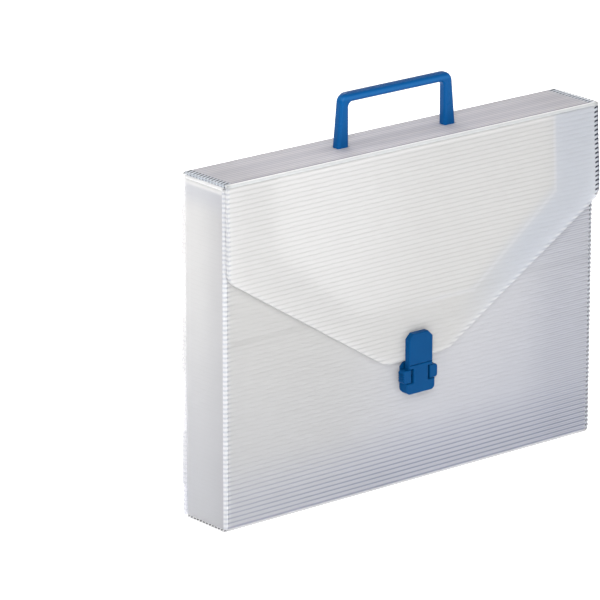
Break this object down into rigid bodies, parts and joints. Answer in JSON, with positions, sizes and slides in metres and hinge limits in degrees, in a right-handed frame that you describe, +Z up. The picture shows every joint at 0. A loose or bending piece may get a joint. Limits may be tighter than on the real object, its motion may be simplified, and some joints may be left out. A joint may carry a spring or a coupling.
{
  "type": "box file",
  "caption": "Document case folded from fluted plastic sheet, with an envelope flap, a bail handle on the lid and a squeeze clasp that holds the flap shut.",
  "frame": {"origin": "centre of the base, on the surface that the case stands on", "axes": "+Z up, +X along the width, to the right as seen from the front; the flap and the clasp face -Y"},
  "size_m": [0.384, 0.063, 0.3228],
  "materials": {
    "polypropylene_sheet": "natural translucent polypropylene, satin, with fine flutes",
    "blue_handle_plastic": "moulded blue plastic, semi-gloss",
    "blue_clasp_plastic": "moulded blue plastic, semi-gloss, a little darker",
    "backing_plastic": "natural moulded plastic",
    "steel": "bright steel"
  },
  "bodies": {
    "case": {"back_panel": "polypropylene_sheet", "bottom_panel": "polypropylene_sheet", "front_panel": "polypropylene_sheet", "left_side_panel": "polypropylene_sheet", "right_side_panel": "polypropylene_sheet", "left_corner_fold": "polypropylene_sheet", "right_corner_fold": "polypropylene_sheet", "front_base_fold": "polypropylene_sheet", "back_base_fold": "polypropylene_sheet", "left_dust_crease": "polypropylene_sheet", "right_dust_crease": "polypropylene_sheet", "catch_base": "blue_clasp_plastic", "catch_backing": "backing_plastic", "catch_rivets": "steel", "left_button_spring": "steel", "right_button_spring": "steel"},
    "lid": {"lid_panel": "polypropylene_sheet", "lid_crease": "polypropylene_sheet", "flap_crease": "polypropylene_sheet"},
    "flap": {"closing_flap": "polypropylene_sheet", "hasp_plate": "blue_clasp_plastic", "hasp_cover": "blue_clasp_plastic", "hasp_backing": "backing_plastic", "hasp_rivets": "steel"},
    "handle": {"handle": "blue_handle_plastic"},
    "left_button": {"left_release_button": "blue_clasp_plastic"},
    "right_button": {"right_release_button": "blue_clasp_plastic"},
    "left_dust_flap": {"left_dust_flap": "polypropylene_sheet"},
    "right_dust_flap": {"right_dust_flap": "polypropylene_sheet"}
  },
  "joints": [
    {"name": "lid_hinge", "type": "hinge", "parent": "case", "child": "lid", "pos_m": [0, 0.02375, 0.27875], "axis": [-1, 0, 0], "range_deg": [0, 180]},
    {"name": "flap_hinge", "type": "hinge", "parent": "lid", "child": "flap", "pos_m": [0, -0.02775, 0.27875], "axis": [-1, 0, 0], "range_deg": [0, 180]},
    {"name": "handle_slide", "type": "slide", "parent": "lid", "child": "handle", "axis": [0, 0, 1], "range_m": [-0.032, 0]},
    {"name": "left_button_press", "type": "slide", "parent": "case", "child": "left_button", "axis": [1, 0, 0], "range_m": [0, 0.002], "stiffness_N_per_m": 600, "springref_m": -0.001, "deforming": ["left_button_spring"]},
    {"name": "right_button_press", "type": "slide", "parent": "case", "child": "right_button", "axis": [-1, 0, 0], "range_m": [0, 0.002], "stiffness_N_per_m": 600, "springref_m": -0.001, "deforming": ["right_button_spring"]},
    {"name": "left_dust_flap_fold", "type": "hinge", "parent": "case", "child": "left_dust_flap", "pos_m": [-0.1875, 0, 0.2747], "axis": [0, 1, 0], "range_deg": [0, 85]},
    {"name": "right_dust_flap_fold", "type": "hinge", "parent": "case", "child": "right_dust_flap", "pos_m": [0.1875, 0, 0.2747], "axis": [0, -1, 0], "range_deg": [0, 85]}
  ]
}
